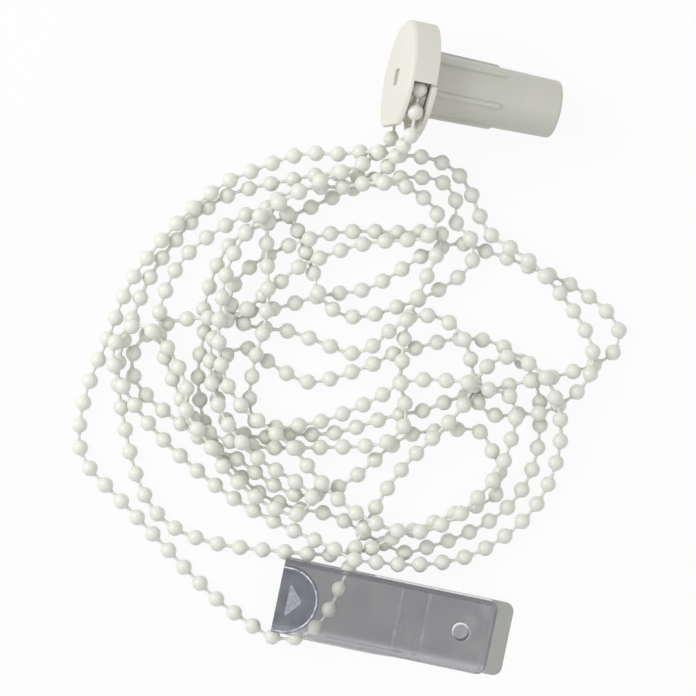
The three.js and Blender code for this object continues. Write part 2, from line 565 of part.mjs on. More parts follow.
// Bead chain: one moulded skin over beads and cord, closed on itself
function chainGeometry(beads) {
  const count = beads.length;
  const neck = Math.sqrt(BEAD_RADIUS ** 2 - CORD_RADIUS ** 2);
  const ringOffset = BEAD_RADIUS * Math.sin(radians(BEAD_RING_LATITUDE));
  const ringRadius = BEAD_RADIUS * Math.cos(radians(BEAD_RING_LATITUDE));
  const rings = [];
  beads.forEach((bead, index) => {
    const into = bead.clone().sub(beads[(index + count - 1) % count]).normalize();
    const out = beads[(index + 1) % count].clone().sub(bead).normalize();
    const through = into.clone().add(out).normalize();
    const halfStep = Math.PI / BEAD_RING_SIDES;
    const rows = [
      [into, -neck, CORD_RADIUS, CORD_SIDES, 0],
      [through, -ringOffset, ringRadius, BEAD_RING_SIDES, 0],
      [through, ringOffset, ringRadius, BEAD_RING_SIDES, halfStep],
      [out, neck, CORD_RADIUS, CORD_SIDES, 0],
    ];
    for (const [along, offset, radius, sides, phase] of rows) {
      rings.push({ centre: bead.clone().addScaledVector(along, offset), along, radius, sides, phase });
    }
  });
  carryDirections(rings);
  return skinned(rings, true);
}

// Carries the directions across the rings along the chain without twist, then shares out what is left over.
function carryDirections(rings) {
  const turn = new THREE.Quaternion();
  const right = new THREE.Vector3(0, 0, 1).cross(rings[0].along).normalize();
  const start = right.clone();
  rings.forEach((ring, index) => {
    if (index > 0) {
      turn.setFromUnitVectors(rings[index - 1].along, ring.along);
      right.applyQuaternion(turn).normalize();
    }
    ring.right = right.clone();
  });
  turn.setFromUnitVectors(rings.at(-1).along, rings[0].along);
  right.applyQuaternion(turn);
  const across = rings[0].along.clone().cross(start);
  const leftOver = Math.atan2(right.dot(across), right.dot(start));
  rings.forEach((ring, index) => {
    turn.setFromAxisAngle(ring.along, (-leftOver * index) / rings.length);
    ring.right.applyQuaternion(turn);
    ring.up = ring.along.clone().cross(ring.right);
  });
}

// Housing of the winder: outer plate, rim over the far side of the wheel, and the fixed spindle
function winderHousing() {
  const plate = turned([
    [COVER_FACE, 0],
    ...roundedCorner(COVER_FACE, COVER_RADIUS, COVER_EDGE_FILLET, 180, 90, COVER_FILLET_STEPS),
    [-CHANNEL_HALF_WIDTH, COVER_RADIUS],
    [-CHANNEL_HALF_WIDTH, 0],
  ]);
  const rim = turned([
    [-CHANNEL_HALF_WIDTH - GAP, RIM_INNER_RADIUS],
    [-CHANNEL_HALF_WIDTH - GAP, COVER_RADIUS],
    [RIM_END, COVER_RADIUS],
    [RIM_END, RIM_INNER_RADIUS],
  ]);
  const spindle = turned([
    [-CHANNEL_HALF_WIDTH - GAP, 0],
    [-CHANNEL_HALF_WIDTH - GAP, JOURNAL_RADIUS],
    [WHEEL_HALF_WIDTH, JOURNAL_RADIUS],
    [WHEEL_HALF_WIDTH, SPINDLE_RADIUS],
    [SPINDLE_END - SPINDLE_CHAMFER, SPINDLE_RADIUS],
    [SPINDLE_END, SPINDLE_RADIUS - SPINDLE_CHAMFER],
    [SPINDLE_END, 0],
  ], BORE_SIDES);
  const mouth = acrossWinder(
    sectorOutline(0, 2 * COVER_RADIUS, Math.PI, 2 * radians(180 - RIM_HALF_ANGLE)),
    -CHANNEL_HALF_WIDTH,
    RIM_END + GAP,
  );
  const belowChord = solid(new THREE.BoxGeometry(COVER_WALL * 3, COVER_RADIUS, COVER_RADIUS * 3)
    .translate(-CHANNEL_HALF_WIDTH - COVER_WALL, -COVER_BELOW_AXIS - COVER_RADIUS / 2, 0));
  const socket = solid(new THREE.BoxGeometry(SOCKET_DEPTH * 2, SOCKET_WIDTH, SOCKET_WIDTH)
    .translate(COVER_FACE, 0, 0));
  const pilot = turned([
    [SCREW_SEAT - SCREW_SHANK_LENGTH - GAP, 0],
    [SCREW_SEAT - SCREW_SHANK_LENGTH - GAP, SCREW_CLEAR_RADIUS],
    [SPINDLE_END + GAP, SCREW_CLEAR_RADIUS],
    [SPINDLE_END + GAP, 0],
  ], SMALL_ROUND_SIDES);
  return plate.add(rim.subtract(mouth)).subtract(belowChord).add(spindle).subtract(socket).subtract(pilot);
}

// Back plate: a disc inside the rim and round the wheel's sleeve, with a foot as wide as the cover
function winderBackPlate() {
  const disc = new THREE.Shape();
  disc.absarc(0, 0, RIM_INNER_RADIUS - GAP, 0, 2 * Math.PI, false);
  const hole = new THREE.Path();
  hole.absarc(0, 0, SLEEVE_RADIUS + GAP, 0, 2 * Math.PI, true);
  disc.holes.push(hole);
  const clearOfRim = 2 * Math.asin(GAP / COVER_RADIUS);
  const footWidth = 2 * (radians(180 - RIM_HALF_ANGLE) - clearOfRim);
  const foot = sectorOutline(RIM_INNER_RADIUS - RIM_WALL, COVER_RADIUS, Math.PI, footWidth);
  return acrossWinder(disc, CHANNEL_HALF_WIDTH, BACK_PLATE_FACE, ROUND_SIDES / 2)
    .add(acrossWinder(foot, CHANNEL_HALF_WIDTH, BACK_PLATE_FACE, FOOT_CURVE_STEPS));
}

// Drive wheel: a pocket for each bead, a groove for the cord, and a slotted sleeve round the springs
function driveWheel() {
  const body = turned([
    [-WHEEL_HALF_WIDTH, SLEEVE_INNER_RADIUS],
    [-WHEEL_HALF_WIDTH, WHEEL_RADIUS],
    [-CORD_RADIUS - GAP, WHEEL_RADIUS],
    [-CORD_RADIUS - GAP, GROOVE_RADIUS],
    [CORD_RADIUS + GAP, GROOVE_RADIUS],
    [CORD_RADIUS + GAP, WHEEL_RADIUS],
    [WHEEL_HALF_WIDTH, WHEEL_RADIUS],
    [WHEEL_HALF_WIDTH, SLEEVE_RADIUS],
    [SLEEVE_END, SLEEVE_RADIUS],
    [SLEEVE_END, SLEEVE_INNER_RADIUS],
  ]);
  const slot = acrossWinder(
    sectorOutline(0, SLEEVE_RADIUS + GAP, 0, radians(SLEEVE_SLOT_ANGLE)),
    SPRINGS_START - GAP,
    SLEEVE_END + GAP,
  );
  let wheel = body.subtract(slot);
  for (let pocket = 0; pocket < WHEEL_POCKETS; pocket += 1) {
    const angle = (pocket + 0.5) * POCKET_ANGLE;
    const ball = new THREE.SphereGeometry(BEAD_RADIUS + BEAD_CLEARANCE, POCKET_SIDES, POCKET_BANDS)
      .rotateX(angle)
      .translate(0, PITCH_RADIUS * Math.cos(angle), PITCH_RADIUS * Math.sin(angle));
    wheel = wheel.subtract(solid(ball));
  }
  return wheel;
}

// Wrap spring: square wire wound round the spindle, both ends turned out into the sleeve's slot
function wrapSpring(start) {
  const halfTang = Math.asin(SPRING_WIRE / 2 / SLEEVE_INNER_RADIUS);
  const tangAngle = radians(SLEEVE_SLOT_ANGLE / 2 - TANG_CLEARANCE_ANGLE) - halfTang;
  const sweep = 2 * Math.PI * SPRING_TURNS - 2 * tangAngle;
  const steps = SPRING_TURNS * SPRING_STEPS_PER_TURN;
  const along = (turn) => start + SPRING_WIRE / 2 + (SPRING_RISE * turn) / (2 * Math.PI);
  const rings = Array.from({ length: steps + 1 }, (unused, step) => {
    const turn = (sweep * step) / steps;
    const outward = new THREE.Vector3(0, Math.cos(tangAngle + turn), Math.sin(tangAngle + turn));
    return {
      centre: outward.clone().multiplyScalar(SPRING_RADIUS).setX(along(turn)),
      right: outward,
      up: new THREE.Vector3(1, 0, 0),
      radius: SPRING_WIRE / Math.SQRT2,
      sides: 4,
      phase: Math.PI / 4,
    };
  });
  let spring = solid(skinned(rings, false));
  for (const turn of [0, sweep]) {
    const tang = new THREE.BoxGeometry(SPRING_WIRE, SPRING_WIRE + SPRING_TANG, SPRING_WIRE)
      .translate(along(turn), SPRING_RADIUS + SPRING_TANG / 2, 0)
      .rotateX(tangAngle + turn);
    spring = spring.add(solid(tang));
  }
  return spring;
}

// The tube plug's outside, a little wider at its mouth.
function plugRadiusAt(along) {
  return PLUG_RADIUS + (PLUG_DRAFT * (PLUG_END - along)) / PLUG_LENGTH;
}

// Tube plug: ribs for the blind's tube, a key between the springs' ends, and a web that the screw holds
function tubePlug() {
  const collarInner = SPINDLE_RADIUS + GAP;
  const ribEnd = PLUG_START + PLUG_RIB_LENGTH;
  const ribTopEnd = ribEnd - PLUG_RIB_RUN_OUT;
  let plug = turned([
    [PLUG_START, PLUG_INNER_RADIUS],
    [PLUG_START, plugRadiusAt(PLUG_START)],
    ...roundedCorner(PLUG_END, PLUG_RADIUS, PLUG_END_FILLET, 90, 0, PLUG_FILLET_STEPS),
    [PLUG_END, PLUG_INNER_RADIUS],
    [WEB_FACE, PLUG_INNER_RADIUS],
    [WEB_FACE, SCREW_CLEAR_RADIUS],
    [WEB_BACK, SCREW_CLEAR_RADIUS],
    [WEB_BACK, collarInner],
    [WEB_BACK - PLUG_COLLAR_LENGTH, collarInner],
    [WEB_BACK - PLUG_COLLAR_LENGTH, collarInner + PLUG_COLLAR_WALL],
    [WEB_BACK - PLUG_WEB, collarInner + PLUG_COLLAR_WALL],
    [WEB_BACK - PLUG_WEB, PLUG_INNER_RADIUS],
  ]);
  const side = new THREE.Shape([
    new THREE.Vector2(PLUG_START, plugRadiusAt(PLUG_START) - PLUG_RIB_HEIGHT),
    new THREE.Vector2(ribEnd, plugRadiusAt(ribEnd) - PLUG_RIB_HEIGHT),
    new THREE.Vector2(ribTopEnd, plugRadiusAt(ribTopEnd) + PLUG_RIB_HEIGHT),
    new THREE.Vector2(PLUG_START, plugRadiusAt(PLUG_START) + PLUG_RIB_HEIGHT),
  ]);
  const rib = new THREE.ExtrudeGeometry(side, { depth: PLUG_RIB_WIDTH, bevelEnabled: false })
    .translate(0, 0, -PLUG_RIB_WIDTH / 2);
  for (let number = 0; number < PLUG_RIBS; number += 1) {
    const angle = radians(PLUG_RIB_PHASE + (360 * number) / PLUG_RIBS);
    plug = plug.add(solid(rib.clone().rotateX(angle)));
  }
  const keyRoot = PLUG_RADIUS - PLUG_MOUTH_WALL / 2;
  const key = sectorOutline(SLEEVE_INNER_RADIUS, keyRoot, 0, radians(KEY_ANGLE));
  return plug.add(acrossWinder(key, PLUG_START, SLEEVE_END));
}

// Screw in the end of the spindle, its slotted head in front of the plug's web
function retainingScrew() {
  const body = turned([
    [SCREW_SEAT - SCREW_SHANK_LENGTH, 0],
    [SCREW_SEAT - SCREW_SHANK_LENGTH, SCREW_SHANK_RADIUS],
    [SCREW_SEAT, SCREW_SHANK_RADIUS],
    [SCREW_SEAT, SCREW_HEAD_RADIUS],
    [SCREW_SEAT + SCREW_HEAD_HEIGHT / 2, SCREW_HEAD_RADIUS],
    [SCREW_SEAT + SCREW_HEAD_HEIGHT, SCREW_HEAD_RADIUS / 2],
    [SCREW_SEAT + SCREW_HEAD_HEIGHT, 0],
  ], SMALL_ROUND_SIDES);
  const slot = new THREE.BoxGeometry(SCREW_SLOT_DEPTH * 2, SCREW_SLOT_WIDTH, SCREW_HEAD_RADIUS * 3)
    .translate(SCREW_SEAT + SCREW_HEAD_HEIGHT, 0, 0);
  return body.subtract(solid(slot));
}

// Outline of the tensioner seen from the front, with the guard's bulge along its lower edge.
function tensionerOutline(length, bulge) {
  const corner = FREE_END_CORNER;
  const outline = new THREE.Shape();
  outline.moveTo(HUB_END_CORNER, 0);
  outline.lineTo(length - corner, 0);
  outline.absarc(length - corner, -corner, corner, Math.PI / 2, 0, true);
  outline.lineTo(length, corner - TENSIONER_WIDTH);
  outline.absarc(length - corner, corner - TENSIONER_WIDTH, corner, 0, -Math.PI / 2, true);
  if (bulge > 0) {
    const low = -TENSIONER_WIDTH - bulge;
    outline.lineTo(GUARD_END, -TENSIONER_WIDTH);
    outline.quadraticCurveTo(GUARD_END - GUARD_RUN_OUT / 2, low, GUARD_END - GUARD_RUN_OUT, low);
    outline.lineTo(GUARD_START + GUARD_RUN_IN, low);
    outline.quadraticCurveTo(GUARD_START + GUARD_RUN_IN / 2, low, GUARD_START, -TENSIONER_WIDTH);
  }
  outline.lineTo(HUB_END_CORNER, -TENSIONER_WIDTH);
  const lowerCorner = HUB_END_CORNER - TENSIONER_WIDTH;
  outline.absarc(HUB_END_CORNER, lowerCorner, HUB_END_CORNER, -Math.PI / 2, -Math.PI, true);
  outline.lineTo(0, -HUB_END_CORNER);
  outline.absarc(HUB_END_CORNER, -HUB_END_CORNER, HUB_END_CORNER, Math.PI, Math.PI / 2, true);
  return outline;
}

// A D with its flat side on the hub end of the tensioner.
function hubOutline(radius) {
  const outline = new THREE.Shape();
  outline.moveTo(0, -HUB_FROM_UPPER_EDGE - radius);
  outline.lineTo(HUB_STRAIGHT, -HUB_FROM_UPPER_EDGE - radius);
  outline.absarc(HUB_STRAIGHT, -HUB_FROM_UPPER_EDGE, radius, -Math.PI / 2, Math.PI / 2, false);
  outline.lineTo(0, -HUB_FROM_UPPER_EDGE + radius);
  outline.closePath();
  return outline;
}

// The rounded triangle sunk into the shield, its tip along the tensioner.
function pointerOutline() {
  const corners = [
    new THREE.Vector2(POINTER_FROM_END, POINTER_WIDTH / 2 - HUB_FROM_UPPER_EDGE),
    new THREE.Vector2(POINTER_FROM_END, -POINTER_WIDTH / 2 - HUB_FROM_UPPER_EDGE),
    new THREE.Vector2(POINTER_FROM_END + POINTER_LENGTH, -HUB_FROM_UPPER_EDGE),
  ];
  const outline = new THREE.Shape();
  corners.forEach((corner, index) => {
    const before = corners[(index + 2) % 3];
    const after = corners[(index + 1) % 3];
    const from = corner.clone().add(before.clone().sub(corner).setLength(POINTER_CORNER));
    const to = corner.clone().add(after.clone().sub(corner).setLength(POINTER_CORNER));
    if (index === 0) {
      outline.moveTo(from.x, from.y);
    } else {
      outline.lineTo(from.x, from.y);
    }
    outline.quadraticCurveTo(corner.x, corner.y, to.x, to.y);
  });
  outline.closePath();
  return outline;
}

function upright(outline, from, to, curveSegments = CORNER_STEPS) {
  const options = { depth: to - from, bevelEnabled: false, curveSegments };
  return solid(new THREE.ExtrudeGeometry(outline, options).translate(0, 0, from));
}

// The hole for the wall screw, which the front covers once it is on.
function screwHole() {
  const sides = SMALL_ROUND_SIDES * 2;
  const hole = new THREE.CylinderGeometry(SCREW_HOLE_RADIUS, SCREW_HOLE_RADIUS, BASE_THICKNESS * 3, sides)
    .rotateX(Math.PI / 2)
    .translate(TENSIONER_LENGTH - SCREW_HOLE_FROM_END, -TENSIONER_WIDTH / 2, 0);
  return solid(hole);
}

// A wall across the inside of the tensioner, clear of its long walls.
function crossWall(middle, thickness, from, to) {
  const width = TENSIONER_WIDTH - 2 * (WALL_THICKNESS + GAP);
  return solid(new THREE.BoxGeometry(thickness, width, to - from)
    .translate(middle, -TENSIONER_WIDTH / 2, (from + to) / 2));
}

// Base of the tensioner: back plate, the hub that the chain turns round, and two ribs that catch the front
function tensionerBase() {
  const plate = upright(tensionerOutline(TENSIONER_LENGTH, GUARD_BULGE), 0, BASE_THICKNESS);
  const hub = upright(hubOutline(HUB_RADIUS), BASE_THICKNESS / 2, FRONT_BACK - GAP, HUB_CURVE_STEPS);
  const ribs = [-1, 1].map((side) => crossWall(
    CATCH_FROM_HUB_END + (side * CATCH_RIB_APART) / 2,
    CATCH_RIB_WIDTH,
    BASE_THICKNESS / 2,
    BASE_THICKNESS + CATCH_RIB_HEIGHT,
  ));
  return ribs.reduce((base, rib) => base.add(rib), plate.add(hub)).subtract(screwHole());
}

// Front of the tensioner: clear plate, walls down to the base, a shield over the hub, and two tongues
function tensionerFront() {
  const length = TENSIONER_LENGTH - FRONT_SHORTER;
  const foot = BASE_THICKNESS + GAP;
  const block = new THREE.ExtrudeGeometry(tensionerOutline(length, 0), {
    depth: FRONT_FACE - foot - 2 * FRONT_EDGE,
    bevelThickness: FRONT_EDGE,
    bevelSize: FRONT_EDGE,
    bevelOffset: -FRONT_EDGE,
    bevelSegments: 1,
    curveSegments: CORNER_STEPS,
  }).translate(0, 0, foot + FRONT_EDGE);
  const outside = 2 * WALL_THICKNESS;
  const inside = new THREE.Shape([
    new THREE.Vector2(-outside, outside),
    new THREE.Vector2(UPPER_WALL_START, outside),
    new THREE.Vector2(UPPER_WALL_START, -WALL_THICKNESS),
    new THREE.Vector2(length - WALL_THICKNESS, -WALL_THICKNESS),
    new THREE.Vector2(length - WALL_THICKNESS, WALL_THICKNESS - TENSIONER_WIDTH),
    new THREE.Vector2(LOWER_WALL_START, WALL_THICKNESS - TENSIONER_WIDTH),
    new THREE.Vector2(LOWER_WALL_START, -outside - TENSIONER_WIDTH),
    new THREE.Vector2(-outside, -outside - TENSIONER_WIDTH),
  ]);
  const shieldTop = SHIELD_FACE + SHIELD_RIM_HEIGHT;
  const shieldBack = FRONT_BACK + FRONT_THICKNESS / 2;
  const shield = upright(hubOutline(SHIELD_RADIUS), shieldBack, shieldTop, HUB_CURVE_STEPS);
  const sunkOutline = hubOutline(SHIELD_RADIUS - SHIELD_RIM);
  const sunk = upright(sunkOutline, SHIELD_FACE, shieldTop + GAP, HUB_CURVE_STEPS);
  const pointer = upright(pointerOutline(), SHIELD_FACE - POINTER_DEPTH, shieldTop + GAP);
  const tongueOut = (CATCH_RIB_APART - CATCH_RIB_WIDTH - TONGUE_THICKNESS) / 2 - GAP;
  const tongues = [-1, 1].map((side) => crossWall(
    CATCH_FROM_HUB_END + side * tongueOut,
    TONGUE_THICKNESS,
    foot,
    shieldBack,
  ));
  const shell = solid(block).subtract(upright(inside, 0, FRONT_BACK));
  const plate = shell.add(shield).subtract(sunk).subtract(pointer);
  return tongues.reduce((front, tongue) => front.add(tongue), plate);
}

// Finishes
const warmWhite = { color: 0xece9e4, roughness: 0.35, metalness: 0 };
const chainWhite = { color: 0xe3e0dc, roughness: 0.3, metalness: 0 };
const clearGrey = { color: 0x8f8c95, roughness: 0.12, metalness: 0, transparent: true, opacity: 0.45 };
const springSteel = { color: 0x8d8f93, roughness: 0.35, metalness: 1 };
const platedSteel = { color: 0xc4c6ca, roughness: 0.28, metalness: 1 };

function piece(name, geometry, finish) {
  const mesh = new THREE.Mesh(geometry, new THREE.MeshStandardMaterial(finish));
  mesh.name = name;
  return mesh;
}

winder.add(piece('winder_housing', shapeOf(winderHousing()), warmWhite));
winder.add(piece('winder_back_plate', shapeOf(winderBackPlate()), warmWhite));
winder.add(piece('drive_wheel', shapeOf(driveWheel()), warmWhite));
for (let number = 0; number < SPRING_COUNT; number += 1) {
  const start = SPRINGS_START + number * (SPRING_LENGTH + GAP);
  winder.add(piece(`wrap_spring_${number + 1}`, shapeOf(wrapSpring(start)), springSteel));
}
winder.add(piece('tube_plug', shapeOf(tubePlug()), warmWhite));
winder.add(piece('retaining_screw', shapeOf(retainingScrew()), platedSteel));
tensioner.add(piece('tensioner_base', shapeOf(tensionerBase()), clearGrey));
tensioner.add(piece('tensioner_front', shapeOf(tensionerFront()), clearGrey));

// The whole part, moved so that its origin lies on the table under the middle of its box
const heap = new THREE.Group();
heap.add(piece('bead_chain', chainGeometry(chainBeads), chainWhite), winder, tensioner);
heap.updateMatrixWorld(true);
const extent = new THREE.Box3().setFromObject(heap, true);
const middle = extent.getCenter(new THREE.Vector3());
heap.position.set(-middle.x, -middle.y, -extent.min.z);

const rollerBlindChain = new THREE.Group();
rollerBlindChain.add(heap);
rollerBlindChain.updateMatrixWorld(true);

export default rollerBlindChain;
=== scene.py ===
"""A roller blind's endless bead chain in a loose heap, with its winder and its clear tensioner."""

import math

import bpy
import numpy as np
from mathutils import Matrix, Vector


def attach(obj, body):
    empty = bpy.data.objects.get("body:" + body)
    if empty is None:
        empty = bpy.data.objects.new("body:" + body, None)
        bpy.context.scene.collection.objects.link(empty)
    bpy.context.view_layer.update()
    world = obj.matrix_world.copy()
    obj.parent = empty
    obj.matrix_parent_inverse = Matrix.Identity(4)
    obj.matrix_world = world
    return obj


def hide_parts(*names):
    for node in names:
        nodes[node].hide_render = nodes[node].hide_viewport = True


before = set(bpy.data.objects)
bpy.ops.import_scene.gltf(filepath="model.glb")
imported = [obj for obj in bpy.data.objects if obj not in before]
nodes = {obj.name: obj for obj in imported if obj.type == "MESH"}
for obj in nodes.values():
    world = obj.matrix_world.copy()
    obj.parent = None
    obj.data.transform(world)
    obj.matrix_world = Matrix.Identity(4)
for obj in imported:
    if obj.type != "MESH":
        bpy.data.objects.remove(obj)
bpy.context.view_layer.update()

MM = 0.001
HEAP_BODY = "housing_and_chain"

# Sizes of the chain, as moulded
BEAD_RADIUS = 2.1 * MM
CORD_RADIUS = 0.5 * MM
COLLAR_RADIUS = 0.68 * MM
COLLAR_END_RADIUS = 0.53 * MM
COLLAR_LENGTH = 0.3 * MM
BEAD_SIDES = 14
BEAD_STEPS = 9
CORD_SIDES = 10
CORD_STEPS = 7
CORD_LAY = 2.4 * MM
CORD_STRAND_DEPTH = 0.3

# How the frame's own chain is read: its cord leaves each bead through a ring of three corners
RING_RADIUS = 0.6 * MM
RING_TOLERANCE = 0.003 * MM
MERGE_DISTANCE = 0.01 * MM

# The tensioner in the frame: its upper left corner, the way it points, and places counted from there
TENSIONER_CORNER = Vector((-16.615 * MM, -54.301 * MM, 0))
TENSIONER_YAW = math.radians(-11.8)
TENSIONER_WIDTH = 19.6 * MM
FRONT_LENGTH = 57.2 * MM
WALL_THICKNESS = 1.3 * MM
SHIELD_STRAIGHT = 1.9 * MM
SHIELD_ACROSS = -10.6 * MM
SHIELD_INNER_RADIUS = 8.2 * MM
SHIELD_OUTER_RADIUS = 8.9 * MM
SHIELD_FACE = 8.3 * MM
POINTER_FLOOR = 7.4 * MM
SCREW_HOLE_ALONG = 49.0 * MM
SCREW_HOLE_ACROSS = -9.8 * MM
SCREW_HOLE_RADIUS = 2.2 * MM
PAST_HUB = 20.0 * MM
CATCH_RIB_TOP = 2.5 * MM
MASK_EDGE = 0.15 * MM

# The photograph's view: straight down on the middle of the heap
PHOTO_PIXELS = 696
PIXEL_SIZE = 0.265 * MM
CAMERA_HEIGHT = 700 * MM
SENSOR = 36.0
NEAREST_SEEN = 0.01
FARTHEST_SEEN = 10
PHOTO_CENTRE = Vector((-0.32 * MM, 0.80 * MM, 0))

# How far light goes into the opaque plastics, and how their grain changes the gloss
LIGHT_REACH = 1.2 * MM
LIGHT_REACH_OF_COLOURS = (1.0, 0.9, 0.8)
GRAIN_GLOSS = 0.12
SCRATCH_GLOSS = 0.15
SCRATCH_DEPTH = 0.01 * MM

# The clear plastic's moulded ripple and its fine scuffs
CLEAR_IOR = 1.45
RIPPLE_SIZE = 9 * MM
RIPPLE_DEPTH = 0.12 * MM
SCUFF_SIZE = 0.5 * MM
SCUFF_GLOSS = 0.02
SCUFF_SHARE = 0.01
BASE_ROUGHNESS = 0.12
FRONT_ROUGHNESS = 0.03

# How the edges of the frame's own solids are softened
WELD_DISTANCE = 0.005 * MM
BEVEL_SEGMENTS = 2
EDGE_ANGLE = 35
WIRE_EDGE_ANGLE = 60

# The white paper that the chain lies on, and how strongly the room lights the chain
FLOOR_SIZE = 3.0
FLOOR_DROP = 0.02 * MM
WHITE_SHARE = 0.92
ROOM_STRENGTH = 0.62


def make_camera():
    data = bpy.data.cameras.new("camera")
    data.sensor_width = SENSOR
    data.lens = SENSOR * CAMERA_HEIGHT / (PHOTO_PIXELS * PIXEL_SIZE)
    data.clip_start = NEAREST_SEEN
    data.clip_end = FARTHEST_SEEN
    camera = bpy.data.objects.new("camera", data)
    camera.location = PHOTO_CENTRE + Vector((0, 0, CAMERA_HEIGHT))
    bpy.context.scene.collection.objects.link(camera)
    bpy.context.scene.camera = camera


def mesh_piece(name, points, faces, material, smooth=True):
    mesh = bpy.data.meshes.new(name)
    mesh.from_pydata([tuple(p) for p in points], [], [tuple(f) for f in faces])
    mesh.polygons.foreach_set("use_smooth", [smooth] * len(mesh.polygons))
    mesh.materials.append(material)
    mesh.validate()
    piece = bpy.data.objects.new(name, mesh)
    bpy.context.scene.collection.objects.link(piece)
    return piece


# Where the chain lies, worked out from the frame's own chain
def frame_chain():
    """The chain's solid as merged points, its edges, and the length of each edge."""
    mesh = nodes["bead_chain"].data
    mesh.calc_loop_triangles()
    raw = np.array([v.co for v in mesh.vertices])
    cells = np.round(raw / MERGE_DISTANCE).astype(int)
    _, first, same = np.unique(cells, axis=0, return_index=True, return_inverse=True)
    triangles = same.ravel()[np.array([t.vertices for t in mesh.loop_triangles])]
    edges = np.unique(np.sort(triangles[:, [[0, 1], [1, 2], [2, 0]]].reshape(-1, 2), axis=1), axis=0)
    points = raw[first]
    return points, edges, np.linalg.norm(points[edges[:, 0]] - points[edges[:, 1]], axis=1)


def bead_centres():
    """The beads' centres in order round the chain. The cord leaves each bead through a small ring of three
    corners, two such rings face each other across each link, and a bead's centre lies behind each of its
    rings."""
    points, edges, lengths = frame_chain()
    ring_edge = math.sqrt(3) * RING_RADIUS
    ring_of = {}
    rings = []
    for a, b in edges[np.abs(lengths - ring_edge) < RING_TOLERANCE]:
        ring = ring_of.get(a, ring_of.get(b))
        if ring is None:
            ring = len(rings)
            rings.append(set())
        rings[ring].update((a, b))
        ring_of[a] = ring_of[b] = ring
    middles = np.array([points[sorted(ring)].mean(axis=0) for ring in rings])
    facing = {}
    for a, b in edges:
        if a in ring_of and b in ring_of and ring_of[a] != ring_of[b]:
            facing[ring_of[a]] = ring_of[b]
            facing[ring_of[b]] = ring_of[a]
    neck = math.sqrt(BEAD_RADIUS ** 2 - RING_RADIUS ** 2)
    centres = np.empty_like(middles)
    for ring, other in facing.items():
        along = middles[ring] - middles[other]
        centres[ring] = middles[ring] + along / np.linalg.norm(along) * neck
    return in_chain_order(centres, facing)


def in_chain_order(centres, facing):
    """Follows the links from the wheel's far side round the whole chain and back. A bead's two rings give
    the same centre."""
    apart = np.linalg.norm(centres[:, None] - centres[None], axis=2)
    np.fill_diagonal(apart, 1)
    twin = apart.argmin(axis=1)
    ring = int(centres[:, 1].argmax())
    order = []
    for _ in range(len(centres) // 2):
        order.append((centres[ring] + centres[twin[ring]]) / 2)
        ring = facing[twin[ring]]
    return np.array(order)


# The chain as it is seen: moulded beads with a short collar at each end, on a cord laid from two strands
def carried_frames(points):
    """At each point of the closed line: the way along it, and two directions across it, carried round
    without twist."""
    ahead = np.roll(points, -1, axis=0) - points
    ahead /= np.linalg.norm(ahead, axis=1)[:, None]
    along = ahead + np.roll(ahead, 1, axis=0)
    along /= np.linalg.norm(along, axis=1)[:, None]
    across = np.empty_like(along)
    side = np.cross(along[0], (0, 0, 1))
    for number, way in enumerate(along):
        side = side - way * (side @ way)
        side /= np.linalg.norm(side)
        across[number] = side
    return along, across, np.cross(along, across)


def bead_profile():
    """Places along the bead's own line and radii there, from collar to collar."""
    edge = math.asin(COLLAR_RADIUS / BEAD_RADIUS)
    angles = np.linspace(math.pi - edge, edge, BEAD_STEPS)
    collar = BEAD_RADIUS * math.cos(edge) + COLLAR_LENGTH
    profile = [(-collar, COLLAR_END_RADIUS)]
    profile += [(BEAD_RADIUS * math.cos(a), BEAD_RADIUS * math.sin(a)) for a in angles]
    return profile + [(collar, COLLAR_END_RADIUS)]


def rings_of_faces(first, rings, sides):
    """The quads between neighbouring rings of points, counted from the first one."""
    faces = []
    for ring in range(rings - 1):
        for side in range(sides):
            low = first + ring * sides + side
            next_low = first + ring * sides + (side + 1) % sides
            faces.append((low, next_low, next_low + sides, low + sides))
    return faces


def make_beads(centres, material):
    along, across, up = carried_frames(centres)
    profile = bead_profile()
    turns = np.linspace(0, 2 * math.pi, BEAD_SIDES, endpoint=False)
    points = []
    faces = []
    for centre, way, side, top in zip(centres, along, across, up):
        first = len(points)
        for place, radius in profile:
            for turn in turns:
                points.append(centre + way * place + radius * (side * math.cos(turn) + top * math.sin(turn)))
        faces += rings_of_faces(first, len(profile), BEAD_SIDES)
        last = first + (len(profile) - 1) * BEAD_SIDES
        faces.append(tuple(first + side for side in reversed(range(BEAD_SIDES))))
        faces.append(tuple(last + side for side in range(BEAD_SIDES)))
    return mesh_piece("beads", points, faces, material)


def curve_between(start, leaving, end, arriving, share):
    """The place that share of the way along a smooth curve with those directions at its ends."""
    square, cube = share ** 2, share ** 3
    return ((2 * cube - 3 * square + 1) * start + (cube - 2 * square + share) * leaving
            + (3 * square - 2 * cube) * end + (cube - square) * arriving)


